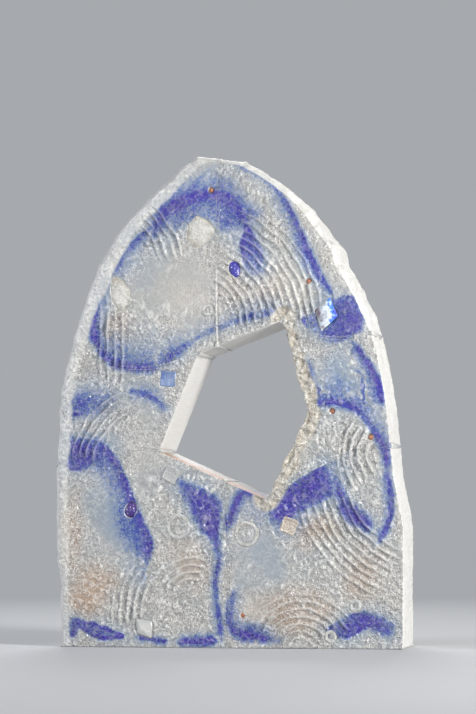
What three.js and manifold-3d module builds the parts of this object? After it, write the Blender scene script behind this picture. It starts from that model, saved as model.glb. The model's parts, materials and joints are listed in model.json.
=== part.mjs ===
// A standing slab of cast glass, shaped as a blunt pointed arch with a five-sided window through it.
// Six cast blocks stand round the window. Thin layers of coloured glass bond them edge to edge, and
// small pieces of glass are set in sockets in the front face.
// Millimetres, +Z up, front face towards -Y, origin on the ground under the middle of the slab.

import * as THREE from "three";
import { mergeVertices } from "three/addons/utils/BufferGeometryUtils.js";
import Module from "manifold-3d";

// Overall sizes
const height = 350;
const halfWidth = 125.5;
const depth = 60;

// Rounded front edge, up the left side and over the crest: across the face and into the slab
const edgeWidth = 6.5;
const edgeDepth = 9;
const edgeSteps = 3;

// Left flank: narrow at the foot, full in the middle, then a step in at the shoulder
const leftFootInset = 3;
const leftFootHeight = 46;
const leftBulgeFoot = 60;
const leftBulgeTop = 135;
const leftSpringInset = 2;
const leftSpringHeight = 180;
const leftShoulderStep = 6.5;
const leftShoulderRise = 15;

// Handles of the curve that arches from the left shoulder to the apex
const leftArchLean = 11;
const leftArchRise = 51;
const apexHandleReach = 73;
const apexHandleFall = 48;

// Blunt apex, which falls a little to the right
const apexLeft = -22;
const apexRight = 10;
const apexFall = 4;

// Right slope, down to the notch where the rim is chipped
const browReach = 44;
const browFall = 36;
const browSwell = 3;
const notchInset = 48;
const notchFall = 67;
const notchStep = 2.5;
const notchDrop = 10.5;

// Right flank, from the curve below the notch to the foot
const rightArchInset = 15;
const rightArchHeight = 215;
const rightSpringInset = 9.6;
const rightSpringHeight = 150;
const waistInset = 6.7;
const waistHeight = 121;
const rightBulgeHeight = 85;
const rightFootInset = 0.5;

// Five-sided window: where its corners are across and up the slab
const topLeftX = -20.5;
const topLeftZ = 208.5;
const topRightX = 40;
const topRightZ = 231.5;
const elbowX = 58;
const elbowZ = 166;
const sillX = 29;
const sillZ = 104.5;
const lowLeftX = -49;
const lowLeftZ = 139;
const windowCornerRadius = 2.5;

// Bond between two blocks: a coloured layer with a clearance on either side
const veilThickness = 0.8;
const bondClearance = 0.3;
const blockOffset = veilThickness / 2 + bondClearance;

// Seams between the blocks: where they leave the window and the rim, and how far they bow sideways
const crownSeamShare = 0.22;
const crownSeamTop = -5;
const crownSeamBow = 1.5;
const leftShoulderInset = 11;
const leftShoulderHeight = 214;
const leftShoulderBow = 13;
const leftKneeHeight = 130;
const leftKneeBow = -5;
const baseSeamShare = 0.6;
const baseSeamFoot = -1;
const baseSeamBow = 2;
const rightKneeInset = 8;
const rightKneeHeight = 143;
const rightKneeBow = 8;
const rightShoulderInset = 25;
const rightShoulderHeight = 221;
const rightShoulderBow = -7;
const seamSteps = 10;
const seamOverrun = 45;

// Pieces set in the front face: how deep they sit, how far they stand proud, and the room around them
const seatDepth = 5;
const proud = 0.8;
const socketClearance = 0.3;

const tileSize = 10;
const shardRadius = 11;
const chipRadius = 8;
const opalRadius = 10.5;
const slimOpalRadius = 7;
const slimOpalStretch = 1.7;
const nuggetRadius = 5;
const nuggetStretch = 1.25;
const fleckRadius = 2.2;
const ringRadius = 8.6;
const smallRingRadius = 4.2;
const ringWidth = 2;
const ringSides = 32;

// Planes and points that follow from the sizes above. A front-view point holds X and Z.
const frontY = -depth / 2;
const backY = depth / 2;
const at = (x, z) => new THREE.Vector2(x, z);
const between = (a, b, share) => a.clone().lerp(b, share);
const windowTopLeft = at(topLeftX, topLeftZ);
const windowTopRight = at(topRightX, topRightZ);
const windowElbow = at(elbowX, elbowZ);
const windowSill = at(sillX, sillZ);
const windowLowLeft = at(lowLeftX, lowLeftZ);

const wasm = await Module();
wasm.setup();

// A closed three.js geometry as a solid that can be cut and joined.
function solid(geometry) {
  const bare = geometry.clone();
  bare.deleteAttribute("normal");
  bare.deleteAttribute("uv");
  const merged = mergeVertices(bare, 1e-4);
  const vertProperties = merged.attributes.position.array;
  const triVerts = new Uint32Array(merged.index.array);
  return new wasm.Manifold(new wasm.Mesh({ numProp: 3, vertProperties, triVerts }));
}

// A solid as a three.js geometry again.
function geometryOf(body) {
  const mesh = body.getMesh();
  const geometry = new THREE.BufferGeometry();
  geometry.setAttribute("position", new THREE.BufferAttribute(mesh.vertProperties, 3));
  geometry.setIndex(new THREE.BufferAttribute(mesh.triVerts, 1));
  geometry.computeVertexNormals();
  return geometry;
}

// A front-view shape pushed through the slab, from the plane Y = near to the plane Y = far.
function prism(shape, near, far) {
  const geometry = new THREE.ExtrudeGeometry(shape, { depth: far - near, bevelEnabled: false });
  return geometry.rotateX(Math.PI / 2).translate(0, far, 0);
}

// Slab

// The outer rim, with the crest and left side, or the right flank, moved outwards if asked. It is carried
// straight on below the ground, so that the base is cut flat there.
function rimShape(crestGrow, flankGrow) {
  const below = -2 * edgeDepth;
  const left = -halfWidth - crestGrow;
  const right = halfWidth + flankGrow;
  const top = height + crestGrow;
  const apex = at(apexLeft - crestGrow, top);
  const apexEnd = at(apexRight + crestGrow, top - apexFall);
  const brow = at(apexEnd.x + browReach, top - browFall);
  const slope = between(brow, apexEnd, 0.5);
  const notch = at(halfWidth + crestGrow - notchInset, height - notchFall);
  const spring = at(left + leftSpringInset, leftSpringHeight);
  const shoulder = at(left + leftShoulderStep, leftSpringHeight + leftShoulderRise);
  const shape = new THREE.Shape();
  shape.moveTo(left + leftFootInset, below);
  shape.lineTo(right - rightFootInset, below);
  shape.lineTo(right - rightFootInset, 0);
  shape.lineTo(right, rightBulgeHeight);
  shape.lineTo(right - waistInset, waistHeight);
  shape.lineTo(right - rightSpringInset, rightSpringHeight);
  shape.quadraticCurveTo(
    right - rightArchInset, rightArchHeight,
    notch.x + notchStep, notch.y - notchDrop,
  );
  shape.lineTo(notch.x, notch.y);
  shape.lineTo(brow.x, brow.y);
  shape.quadraticCurveTo(slope.x + browSwell, slope.y + browSwell, apexEnd.x, apexEnd.y);
  shape.lineTo(apex.x, apex.y);
  shape.bezierCurveTo(
    apex.x - apexHandleReach, apex.y - apexHandleFall,
    shoulder.x + leftArchLean, shoulder.y + leftArchRise,
    shoulder.x, shoulder.y,
  );
  shape.lineTo(spring.x, spring.y);
  shape.lineTo(left, leftBulgeTop);
  shape.lineTo(left, leftBulgeFoot);
  shape.lineTo(left + leftFootInset, leftFootHeight);
  return shape;
}

// A polygon whose corners are rounded by short curves.
function roundedPolygon(corners, radius) {
  const shape = new THREE.Shape();
  corners.forEach((corner, index) => {
    const before = corners.at(index - 1);
    const after = corners[(index + 1) % corners.length];
    const start = corner.clone().add(before.clone().sub(corner).setLength(radius));
    const end = corner.clone().add(after.clone().sub(corner).setLength(radius));
    if (index === 0) shape.moveTo(start.x, start.y);
    else shape.lineTo(start.x, start.y);
    shape.quadraticCurveTo(corner.x, corner.y, end.x, end.y);
  });
  return shape;
}

const windowCorners = [windowTopLeft, windowLowLeft, windowSill, windowElbow, windowTopRight];

// The whole slab: rounded in front on the left and over the crest, crisp on the right flank, flat behind
// and underneath, with the window through it.
function makeSlab() {
  const rounded = new THREE.ExtrudeGeometry(rimShape(0, edgeWidth), {
    depth,
    bevelThickness: edgeDepth,
    bevelSize: edgeWidth,
    bevelOffset: -edgeWidth,
    bevelSegments: edgeSteps,
  });
  rounded.rotateX(Math.PI / 2).translate(0, backY + edgeDepth, 0);
  const straight = prism(rimShape(edgeWidth, 0), -depth, backY);
  const ground = new THREE.BoxGeometry(4 * halfWidth, 3 * depth, height).translate(0, 0, -height / 2);
  const opening = prism(roundedPolygon(windowCorners, windowCornerRadius), -depth, depth);
  return solid(rounded).intersect(solid(straight)).subtract(solid(ground)).subtract(solid(opening));
}

// Seams

const seams = {
  crown: {
    inner: between(windowTopLeft, windowTopRight, crownSeamShare),
    outer: at(crownSeamTop, height),
    bow: crownSeamBow,
  },
  leftShoulder: {
    inner: windowTopLeft,
    outer: at(-halfWidth + leftShoulderInset, leftShoulderHeight),
    bow: leftShoulderBow,
  },
  leftKnee: {
    inner: windowLowLeft,
    outer: at(-halfWidth, leftKneeHeight),
    bow: leftKneeBow,
  },
  base: {
    inner: between(windowLowLeft, windowSill, baseSeamShare),
    outer: at(baseSeamFoot, 0),
    bow: baseSeamBow,
  },
  rightKnee: {
    inner: windowSill,
    outer: at(halfWidth - rightKneeInset, rightKneeHeight),
    bow: rightKneeBow,
  },
  rightShoulder: {
    inner: windowTopRight,
    outer: at(halfWidth - rightShoulderInset, rightShoulderHeight),
    bow: rightShoulderBow,
  },
};

// The middle of the window, where every seam's cut begins.
const windowMiddle = windowCorners
  .reduce((sum, corner) => sum.add(corner), at(0, 0))
  .divideScalar(windowCorners.length);

const leftOf = (direction) => at(-direction.y, direction.x);

// Points along a seam moved sideways by an offset, positive to its left, and run out past the rim.
// The first point is mitred, because the cut turns there from the window's middle into the seam.
function seamLine({ inner, outer, bow }, offset) {
  const sag = leftOf(outer.clone().sub(inner)).setLength(2 * bow);
  const handle = between(inner, outer, 0.5).add(sag);
  const curve = new THREE.QuadraticBezierCurve(inner, handle, outer);
  const line = [];
  for (let step = 0; step <= seamSteps; step += 1) {
    const forward = curve.getTangent(step / seamSteps);
    const arriving = step === 0 ? inner.clone().sub(windowMiddle).normalize() : forward;
    const mitre = leftOf(forward).add(leftOf(arriving)).normalize();
    mitre.divideScalar(mitre.dot(leftOf(forward)));
    line.push(curve.getPoint(step / seamSteps).addScaledVector(mitre, offset));
  }
  line.push(line.at(-1).clone().addScaledVector(curve.getTangent(1), seamOverrun));
  return line;
}

// The front-view wedge from one line to the next, through any corner points outside the rim.
function wedge(first, corners, second) {
  const shape = new THREE.Shape([windowMiddle, ...first, ...corners, ...second.reverse()]);
  return solid(prism(shape, -depth, depth));
}

// Pieces set in the front face. Each is made about its own middle, with Y = 0 on the face, and grown
// by the clearance to cut its socket.

function makeTile(grow) {
  const side = tileSize + 2 * grow;
  const thickness = seatDepth + proud + 2 * grow;
  return new THREE.BoxGeometry(side, thickness, side).translate(0, (seatDepth - proud) / 2, 0);
}

// A flat splinter with one corner for each share of the radius. Its corners are sharper than a regular
// polygon's, so they move out further than the clearance.
const splinterSharpness = 2;

function makeSplinter(radius, shares, grow) {
  const step = (2 * Math.PI) / shares.length;
  const margin = (splinterSharpness * grow) / Math.cos(step / 2);
  const corners = shares.map((share, index) => {
    const reach = radius * share + margin;
    return at(reach * Math.cos(index * step), reach * Math.sin(index * step));
  });
  return prism(new THREE.Shape(corners), -proud - grow, seatDepth + grow);
}

const shardShares = [0.75, 1, 0.7, 1.1];
const chipShares = [1, 0.85, 1.05, 0.7];
const opalShares = [1, 0.9, 1.05, 0.85, 0.95, 1.05, 0.8];

function makeSlimOpal(grow) {
  return makeSplinter(slimOpalRadius, opalShares, grow).scale(1, 1, slimOpalStretch);
}

function makeNugget(grow) {
  const pebble = new THREE.SphereGeometry(nuggetRadius + grow, 16, 10);
  return pebble.scale(1, 1, nuggetStretch).translate(0, nuggetRadius - 2 * proud, 0);
}

// A many-sided grain. Its faces lie nearer the middle than its corners, by this share.
const grainFaceShare = 0.795;

function makeFleck(grow) {
  const grain = new THREE.IcosahedronGeometry(fleckRadius + grow / grainFaceShare, 0);
  return grain.translate(0, fleckRadius / 2, 0);
}

// A slice of glass tube with a rounded lip.
function makeRing(radius, grow) {
  const inside = radius - ringWidth - grow;
  const outside = radius + grow;
  const middle = radius - ringWidth / 2;
  const floor = seatDepth + grow;
  const profile = [
    at(inside, floor),
    at(inside, 0),
    at(middle, -proud - grow),
    at(outside, 0),
    at(outside, floor),
    at(inside, floor),
  ];
  return new THREE.LatheGeometry(profile, ringSides);
}

// Materials: frosted cast glass, and the coloured glasses in and between the blocks

function glass(color, roughness) {
  return new THREE.MeshStandardMaterial({ color, roughness, metalness: 0 });
}

const castGlass = glass(0xd5d8da, 0.4);
const cobaltVeil = glass(0x3d3fb8, 0.35);
const paleVeil = glass(0xe9e8e2, 0.4);
const cobaltGlass = glass(0x2f43c8, 0.2);
const violetGlass = glass(0x4a1f9c, 0.2);
const rubyGlass = glass(0x6a1f7a, 0.2);
const iridescentGlass = glass(0x4d8fe0, 0.12);
const clearGlass = glass(0xe8eef2, 0.12);
const sandGlass = glass(0xcfc3b0, 0.5);
const opalGlass = glass(0xe4dfcf, 0.55);
const copperGlass = glass(0xd0602c, 0.3);

// A place on the front face: shares of the way from a window corner to the rim and to the top, or to
// the left rim and the ground where a share is negative.
function placeFrom(corner, aside, up) {
  const rim = Math.sign(aside) * halfWidth;
  const end = up > 0 ? height : 0;
  return at(
    THREE.MathUtils.lerp(corner.x, rim, Math.abs(aside)),
    THREE.MathUtils.lerp(corner.y, end, Math.abs(up)),
  );
}

const makeShard = (grow) => makeSplinter(shardRadius, shardShares, grow);
const makeChip = (grow) => makeSplinter(chipRadius, chipShares, grow);
const makeRoundOpal = (grow) => makeSplinter(opalRadius, opalShares, grow);
const makeWideRing = (grow) => makeRing(ringRadius, grow);
const makeSmallRing = (grow) => makeRing(smallRingRadius, grow);

// Each set piece: its glass, its shape, its place and how far it is turned
const settings = [
  ["crown_fleck", copperGlass, makeFleck, placeFrom(windowTopLeft, 0.061, 0.824), 0.2],
  ["round_opal", opalGlass, makeRoundOpal, placeFrom(windowTopLeft, 0.006, 0.613), 0],
  ["slim_opal", opalGlass, makeSlimOpal, placeFrom(windowTopLeft, -0.546, 0.305), -0.25],
  ["crown_ring", clearGlass, makeSmallRing, placeFrom(windowTopLeft, 0.043, 0.218), 0],
  ["violet_nugget", violetGlass, makeNugget, placeFrom(windowTopLeft, 0.179, 0.423), -0.3],
  ["brow_fleck", copperGlass, makeFleck, placeFrom(windowTopRight, 0.22, 0.233), 0.7],
  ["iridescent_shard", iridescentGlass, makeShard, placeFrom(windowTopRight, 0.362, 0.038), 0.25],
  ["flank_fleck", copperGlass, makeFleck, placeFrom(windowElbow, 0.254, 0.005), 1.1],
  ["knee_fleck", copperGlass, makeFleck, placeFrom(windowElbow, 0.663, -0.105), 0.4],
  ["blue_tile", cobaltGlass, makeTile, placeFrom(windowTopLeft, -0.212, -0.086), 0.08],
  ["clear_tile", clearGlass, makeTile, placeFrom(windowLowLeft, 0.048, -0.119), 0.5],
  ["ruby_nugget", rubyGlass, makeNugget, placeFrom(windowLowLeft, -0.268, -0.3), 0.4],
  ["left_ring", clearGlass, makeWideRing, placeFrom(windowLowLeft, 0.078, -0.386), 0],
  ["clear_chip", clearGlass, makeChip, placeFrom(windowLowLeft, -0.144, -0.903), 0.9],
  ["right_ring", clearGlass, makeWideRing, placeFrom(windowSill, -0.099, -0.231), 0],
  ["sand_tile", sandGlass, makeTile, placeFrom(windowSill, 0.159, -0.177), 0.35],
  ["foot_fleck", copperGlass, makeFleck, placeFrom(windowSill, -0.114, -0.777), 0.9],
  ["foot_ring", clearGlass, makeSmallRing, placeFrom(windowSill, 0.644, -0.712), 0],
  ["base_ring", clearGlass, makeSmallRing, placeFrom(windowSill, 0.461, -0.919), 0],
];

// Assembly

const slab = makeSlab();
const sculpture = new THREE.Group();
const blocks = new THREE.Group();
const veils = new THREE.Group();
const setPieces = new THREE.Group();
sculpture.add(blocks, veils, setPieces);

function addMesh(group, name, geometry, material) {
  const mesh = new THREE.Mesh(geometry, material);
  mesh.name = name;
  group.add(mesh);
  return mesh;
}

// Each set piece goes in its place, and the same shape grown by the clearance becomes its socket.
const sockets = settings.map(([name, material, make, place, turn]) => {
  const piece = addMesh(setPieces, name, make(0), material);
  piece.position.set(place.x, frontY, place.y);
  piece.rotation.y = turn;
  return solid(make(socketClearance).rotateY(turn).translate(place.x, frontY, place.y));
});

const withSockets = (body) => sockets.reduce((left, socket) => left.subtract(socket), body);

// Corners outside the rim that the larger wedges go round.
const farX = halfWidth + seamOverrun;
const farTop = height + seamOverrun;
const farTopLeft = at(-farX, farTop);
const farTopRight = at(farX, farTop);
const farLowLeft = at(-farX, -seamOverrun);
const farLowRight = at(farX, -seamOverrun);

const blockPlan = [
  { name: "crown_left_block", from: seams.crown, corners: [farTopLeft], to: seams.leftShoulder },
  { name: "left_flank_block", from: seams.leftShoulder, corners: [], to: seams.leftKnee },
  { name: "left_foot_block", from: seams.leftKnee, corners: [farLowLeft], to: seams.base },
  { name: "right_foot_block", from: seams.base, corners: [farLowRight], to: seams.rightKnee },
  { name: "right_flank_block", from: seams.rightKnee, corners: [], to: seams.rightShoulder },
  { name: "crown_right_block", from: seams.rightShoulder, corners: [farTopRight], to: seams.crown },
];

for (const { name, from, corners, to } of blockPlan) {
  const sector = wedge(seamLine(from, blockOffset), corners, seamLine(to, -blockOffset));
  addMesh(blocks, name, geometryOf(withSockets(slab.intersect(sector))), castGlass);
}

const veilPlan = [
  { name: "crown_veil", seam: seams.crown, material: paleVeil },
  { name: "left_shoulder_veil", seam: seams.leftShoulder, material: cobaltVeil },
  { name: "left_knee_veil", seam: seams.leftKnee, material: cobaltVeil },
  { name: "base_veil", seam: seams.base, material: cobaltVeil },
  { name: "right_knee_veil", seam: seams.rightKnee, material: cobaltVeil },
  { name: "right_shoulder_veil", seam: seams.rightShoulder, material: cobaltVeil },
];

for (const { name, seam, material } of veilPlan) {
  const half = veilThickness / 2;
  const strip = wedge(seamLine(seam, -half), [], seamLine(seam, half));
  addMesh(veils, name, geometryOf(withSockets(slab.intersect(strip))), material);
}

export default sculpture;
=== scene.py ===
# %% [markdown]
# # A window slab in cast glass
# The object is a thick slab of glass, cast in a mould and stood on its flat foot. Six blocks surround a
# five-sided window, thin layers of coloured glass bond them, and small finds of glass sit in the front.
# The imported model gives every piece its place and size. This lesson gives each one its surface.
# Everything is in metres, Z up, with the front towards -Y.

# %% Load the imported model
import json
import math

import bmesh
import bpy
import numpy as np
from mathutils import Matrix, Vector


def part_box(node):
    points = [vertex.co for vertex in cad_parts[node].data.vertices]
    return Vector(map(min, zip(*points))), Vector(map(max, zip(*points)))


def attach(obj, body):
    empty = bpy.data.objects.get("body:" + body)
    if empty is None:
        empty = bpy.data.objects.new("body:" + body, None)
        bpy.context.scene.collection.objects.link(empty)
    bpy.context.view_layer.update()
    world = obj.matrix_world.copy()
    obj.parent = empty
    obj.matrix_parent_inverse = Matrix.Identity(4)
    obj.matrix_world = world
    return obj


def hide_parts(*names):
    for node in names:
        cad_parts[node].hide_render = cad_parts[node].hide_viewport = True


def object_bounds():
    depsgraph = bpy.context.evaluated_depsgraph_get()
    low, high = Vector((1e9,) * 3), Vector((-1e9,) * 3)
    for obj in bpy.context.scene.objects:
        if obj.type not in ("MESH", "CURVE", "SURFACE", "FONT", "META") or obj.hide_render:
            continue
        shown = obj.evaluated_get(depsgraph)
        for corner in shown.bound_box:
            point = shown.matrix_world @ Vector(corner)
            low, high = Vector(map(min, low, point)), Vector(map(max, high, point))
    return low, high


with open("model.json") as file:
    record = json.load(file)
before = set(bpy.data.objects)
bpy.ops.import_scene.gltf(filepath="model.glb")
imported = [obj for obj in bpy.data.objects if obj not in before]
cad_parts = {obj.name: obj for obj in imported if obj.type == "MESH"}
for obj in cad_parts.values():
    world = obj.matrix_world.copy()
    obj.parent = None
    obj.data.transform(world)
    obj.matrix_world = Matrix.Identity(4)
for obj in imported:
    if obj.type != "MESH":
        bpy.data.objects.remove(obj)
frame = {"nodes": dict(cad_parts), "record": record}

MM = 0.001
XZ = [0, 2]
nodes = frame["nodes"]
cad_low, cad_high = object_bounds()
print("packed model:", len(nodes), "nodes, size in mm", [round(side / MM, 1) for side in cad_high - cad_low])

# %% [markdown]
# ## Camera
# A long lens from two metres away keeps the slab's sides nearly parallel. The camera stands low and to the
# right, so the right-hand wall shows as a narrow strip and the window shows its left wall and its top.

# %% Camera
LENS = 147.27
CAMERA_AT = Vector((366.71, -2068.10, 95.0)) * MM
AIM_AT = Vector((2.58, 0.0, 207.35)) * MM


def link_object(name, data):
    """A new object in the scene that holds this data."""
    made = bpy.data.objects.new(name, data)
    bpy.context.scene.collection.objects.link(made)
    return made


camera = link_object("camera", bpy.data.cameras.new("camera"))
camera.data.lens = LENS
camera.location = CAMERA_AT
camera.rotation_euler = (AIM_AT - CAMERA_AT).to_track_quat("-Z", "Y").to_euler()
bpy.context.scene.camera = camera
print("camera", round((AIM_AT - CAMERA_AT).length, 2), "m from the slab")

# %% [markdown]
# ## Colours and nodes
# Colours are written in sRGB hex, and one function turns them into the linear values that the renderer
# works with. Another adds a shader node and fills or links its inputs, so that each material below reads
# as a recipe.

# %% Colours and nodes
def linear(hex_colour):
    """Linear RGBA of an sRGB colour such as #c8c8c6."""
    parts = [int(hex_colour[start:start + 2], 16) / 255 for start in (1, 3, 5)]
    curve = [part / 12.92 if part <= 0.04045 else ((part + 0.055) / 1.055) ** 2.4 for part in parts]
    return (*curve, 1.0)


def add(tree, kind, properties, inputs):
    """A new shader node. An input takes a value, a hex colour or another node's output."""
    node = tree.nodes.new("ShaderNode" + kind)
    for name, value in properties.items():
        setattr(node, name, value)
    for name, value in inputs.items():
        socket = next(s for s in node.inputs if name in (s.identifier, s.name))
        if isinstance(value, bpy.types.NodeSocket):
            tree.links.new(value, socket)
        else:
            socket.default_value = linear(value) if isinstance(value, str) else value
    return node


def new_material(name):
    """An empty material, its node tree and the place of the shaded point."""
    material = bpy.data.materials.new(name)
    material.use_nodes = True
    tree = material.node_tree
    tree.nodes.clear()
    return material, tree, add(tree, "TexCoord", {}, {}).outputs["Object"]


def maths(tree, operation, first, second):
    """Two values joined by a sum, a product or a choice."""
    inputs = {"Value": first, "Value_001": second}
    return add(tree, "Math", {"operation": operation}, inputs).outputs["Value"]


def times(tree, first, second):
    """One value times another."""
    return maths(tree, "MULTIPLY", first, second)


print("white in linear light:", linear("#ffffff"))

# %% [markdown]
# ## Studio
# A floor that turns up into a wall all round gives one seamless background from every side. It is a
# profile spun about the vertical axis. Far from the slab it shows one flat grey to the eye and in
# reflections, and near the slab it keeps the shadow. A soft lamp on the right grazes the front and lights
# the right-hand wall, a weaker one fills from the left, and a third lights the back. The camera sees none
# of them.

# %% Studio floor
FLOOR_DROP = 0.2 * MM
FLOOR_RADIUS = 3.4
TURN_RADIUS = 1.2
WALL_HEIGHT = 3.2
BOWL_STEPS = 64
TURN_STEPS = 10


def to_mesh(bm, name):
    """A bmesh as a new mesh with smooth shading."""
    mesh = bpy.data.meshes.new(name)
    bm.to_mesh(mesh)
    bm.free()
    mesh.shade_smooth()
    return mesh


def spun(points, closed, axis, middle, steps, merge):
    """A line or a closed loop of points, spun once round an axis."""
    bm = bmesh.new()
    profile = [bm.verts.new(point) for point in points]
    ahead = profile[1:] + profile[:1] if closed else profile[1:]
    edges = [bm.edges.new(pair) for pair in zip(profile, ahead)]
    bmesh.ops.spin(
        bm, geom=profile + edges, axis=axis, cent=middle, angle=2 * math.pi, steps=steps, use_merge=True,
    )
    bmesh.ops.remove_doubles(bm, verts=bm.verts, dist=merge)
    bmesh.ops.recalc_face_normals(bm, faces=bm.faces)
    return bm


def make_studio_bowl():
    """A flat round floor whose edge curves up into a wall."""
    points = [(0, 0, 0), (FLOOR_RADIUS, 0, 0)]
    for step in range(1, TURN_STEPS + 1):
        turn = math.pi / 2 * step / TURN_STEPS
        out = FLOOR_RADIUS + TURN_RADIUS * math.sin(turn)
        points.append((out, 0, TURN_RADIUS * (1 - math.cos(turn))))
    points.append((FLOOR_RADIUS + TURN_RADIUS, 0, WALL_HEIGHT))
    bm = spun(points, False, (0, 0, 1), (0, 0, 0), BOWL_STEPS, MM)
    bmesh.ops.translate(bm, verts=bm.verts, vec=(0, 0, -FLOOR_DROP))
    return link_object("studio_bowl", to_mesh(bm, "studio_bowl"))


bowl = make_studio_bowl()
print("studio bowl:", len(bowl.data.polygons), "faces")

# %% Studio paint
FLAT_FROM = 0.25
FLAT_TO = 1.3


def painted_board():
    """Matt pale grey paint, flat in tone away from the slab."""
    material, tree, place = new_material("painted_board")
    paint = add(tree, "BsdfPrincipled", {}, {
        "Base Color": "#c3c5c8", "Roughness": 0.9, "Specular IOR Level": 0.1,
    })
    flat_tone = add(tree, "Emission", {}, {"Color": "#a6a9ad"})
    radius = add(tree, "VectorMath", {"operation": "LENGTH"}, {"Vector": place})
    far = add(tree, "MapRange", {"interpolation_type": "SMOOTHSTEP"}, {
        "Value": radius.outputs["Value"], "From Min": FLAT_FROM, "From Max": FLAT_TO,
    }).outputs["Result"]
    ray = add(tree, "LightPath", {}, {}).outputs
    seen = maths(tree, "MAXIMUM", ray["Is Camera Ray"], ray["Is Glossy Ray"])
    seen = maths(tree, "MAXIMUM", seen, ray["Is Transmission Ray"])
    board = add(tree, "MixShader", {}, {
        "Fac": times(tree, far, seen), "Shader": paint.outputs["BSDF"],
        "Shader_001": flat_tone.outputs["Emission"],
    })
    add(tree, "OutputMaterial", {}, {"Surface": board.outputs["Shader"]})
    return material


bowl.data.materials.append(painted_board())

# %% Lamps and air
AIR_STRENGTH = 0.29


def add_lamp(name, place, width, power, colour):
    """A square soft lamp that looks at the middle of the slab."""
    lamp = link_object(name, bpy.data.lights.new(name, "AREA"))
    lamp.data.size = width
    lamp.data.energy = power
    lamp.data.color = linear(colour)[:3]
    lamp.location = Vector(place)
    lamp.visible_camera = False
    lamp.rotation_euler = (AIM_AT - Vector(place)).to_track_quat("-Z", "Y").to_euler()


add_lamp("right_softbox", (1.42, -1.04, 0.6), width=0.4, power=45, colour="#fffdf9")
add_lamp("left_softbox", (-1.6, -0.7, 0.8), width=0.7, power=20, colour="#f4f8ff")
add_lamp("back_softbox", (-0.3, 1.8, 1.1), width=0.8, power=22, colour="#ffffff")

world = bpy.data.worlds.new("studio_air")
world.use_nodes = True
air = world.node_tree.nodes["Background"].inputs
air["Color"].default_value = linear("#c9ccd0")
air["Strength"].default_value = AIR_STRENGTH
bpy.context.scene.world = world
bpy.context.scene.view_settings.view_transform = "Standard"
print("lamps:", [lamp.name for lamp in bpy.data.lights])

# %% [markdown]
# ## Noise that repeats
# Cast glass is never quite even. Each unevenness here is a noise worked out from a point's own place, so
# every run gives the same surface. Steady pseudo-random numbers on a lattice are smoothed between its
# cells, and the lattice is turned so that no row of it lines up with a face of the slab.

# %% Noise
LATTICE_TURN = np.array(Matrix.Rotation(1.1, 3, Vector((0.4, 0.8, 0.45))))
LATTICE_CORNERS = list(np.ndindex(2, 2, 2))


def cell_number(cell, seed):
    """A steady number from 0 to 1 for each cell of the lattice."""
    mixed = cell @ np.array([374761393, 668265263, 1103515245]) + seed * 974711
    mixed = (mixed ^ (mixed >> 13)) * 1274126177
    return ((mixed ^ (mixed >> 16)) & 0xFFFF) / 0xFFFF


def noise(places, size, seed):
    """Smooth noise from -1 to 1 at these places, with lumps of this size, both in millimetres."""
    scaled = places @ LATTICE_TURN / size
    cell = np.floor(scaled).astype(np.int64)
    part = scaled - cell
    part = part * part * (3 - 2 * part)
    total = np.zeros(len(places))
    for corner in LATTICE_CORNERS:
        weight = np.prod(np.where(corner, part, 1 - part), axis=1)
        total += weight * cell_number(cell + np.array(corner), seed)
    return 2 * total - 1


def ramp(values, low, high):
    """0 below low, 1 above high, and smooth between. Low may be the larger."""
    share = np.clip((values - low) / (high - low), 0, 1)
    return share * share * (3 - 2 * share)


sample = noise(np.random.default_rng(1).uniform(-100, 100, (2000, 3)), 8, 3)
print("noise runs from", round(sample.min(), 2), "to", round(sample.max(), 2))

# %% [markdown]
# ## Lines and patches on the front
# Blue glass powder was strewn before the casting, and the melt pulled it into ribbons and patches. A
# ribbon is a line of a few points across the front, in millimetres. It often fades out sharply on one side
# and softly on the other, like a folded veil. A patch is filled, with a soft border.

# %% Lines and patches
CURVE_STEPS = 5


def smooth_line(points):
    """Points along a smooth curve through a few points."""
    ends = np.array([points[0], *points, points[-1]], float)
    line = []
    for before, start, end, after in zip(ends, ends[1:], ends[2:], ends[3:]):
        for step in range(CURVE_STEPS):
            t = step / CURVE_STEPS
            line.append(0.5 * (
                2 * start + (end - before) * t
                + (2 * before - 5 * start + 4 * end - after) * t ** 2
                + (3 * start - before - 3 * end + after) * t ** 3
            ))
    return np.array([*line, ends[-1]])


def from_line(flat, line):
    """Distance from a line, share of the way along it, whether on its left, and the line's direction."""
    nearest = np.full(len(flat), np.inf)
    along = np.zeros(len(flat))
    left = np.zeros(len(flat), bool)
    runs = np.zeros(flat.shape)
    last = len(line) - 1
    for index, (start, end) in enumerate(zip(line, line[1:])):
        step = end - start
        across = flat - start
        share = np.clip(across @ step / max(step @ step, 1e-9), 0, 1)
        gap = np.linalg.norm(across - share[:, None] * step, axis=1)
        closer = gap < nearest
        nearest[closer] = gap[closer]
        along[closer] = (index + share[closer]) / last
        left[closer] = (step[0] * across[:, 1] - step[1] * across[:, 0] > 0)[closer]
        runs[closer] = step / max(np.linalg.norm(step), 1e-9)
    return nearest, along, left, runs


def inside_patch(flat, corners):
    """Whether each place lies inside a closed line of corners."""
    inside = np.zeros(len(flat), bool)
    for (x0, z0), (x1, z1) in zip(corners, np.roll(corners, -1, axis=0)):
        spans = (z0 > flat[:, 1]) != (z1 > flat[:, 1])
        with np.errstate(divide="ignore", invalid="ignore"):
            crossing = x0 + (flat[:, 1] - z0) / (z1 - z0) * (x1 - x0)
        inside ^= spans & (flat[:, 0] < crossing)
    return inside


# %% [markdown]
# ### Blue powder
# Each ribbon gives its points, its reach to the left and right of the way it runs, and its density at
# either end. Each patch gives its corners, deepest at the first, the width of its border and its density.
# Powder gathers in a violet hem along parts of the border. Clouds of paler blue, of pink and of clear calm
# glass lie under them, each a middle, a half width, a half height and a strength.

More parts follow.
